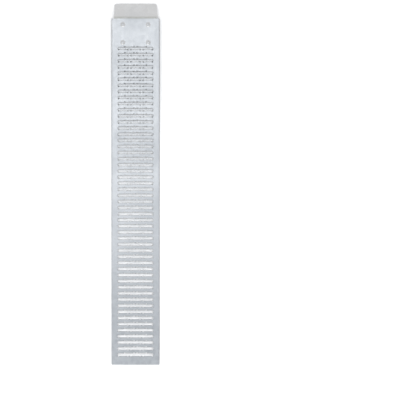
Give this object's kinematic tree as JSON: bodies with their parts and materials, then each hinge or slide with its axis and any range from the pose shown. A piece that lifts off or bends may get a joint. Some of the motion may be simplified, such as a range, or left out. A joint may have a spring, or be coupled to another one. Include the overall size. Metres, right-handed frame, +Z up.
{
  "type": "loading ramp",
  "caption": "Rigid steel loading ramp: a channel deck with pressed cross ribs and anti-slip slits, and a bolted plate that hooks on a load bed.",
  "frame": {"origin": "on the ground, under the centre of the ramp's outline, with the ramp lying tread side up on its turned-in lips", "axes": "+X across the ramp, +Y along it from the toe to the tongue, +Z up out of the tread"},
  "size_m": [0.2, 1.5, 0.0466],
  "materials": {
    "deck_sheet": "galvanised, satin",
    "tongue_sheet": "galvanised, satin",
    "bolt_zinc": "bright zinc plated",
    "washer_zinc": "bright zinc plated",
    "nut_zinc": "bright zinc plated",
    "nut_insert": "matt nylon"
  },
  "bodies": {
    "root": {"deck": "deck_sheet", "tongue_plate": "tongue_sheet", "bolt_upper_left": "bolt_zinc", "washer_upper_left": "washer_zinc", "nut_upper_left": "nut_zinc", "nut_insert_upper_left": "nut_insert", "bolt_upper_right": "bolt_zinc", "washer_upper_right": "washer_zinc", "nut_upper_right": "nut_zinc", "nut_insert_upper_right": "nut_insert", "bolt_lower_left": "bolt_zinc", "washer_lower_left": "washer_zinc", "nut_lower_left": "nut_zinc", "nut_insert_lower_left": "nut_insert", "bolt_lower_right": "bolt_zinc", "washer_lower_right": "washer_zinc", "nut_lower_right": "nut_zinc", "nut_insert_lower_right": "nut_insert"}
  },
  "joints": []
}
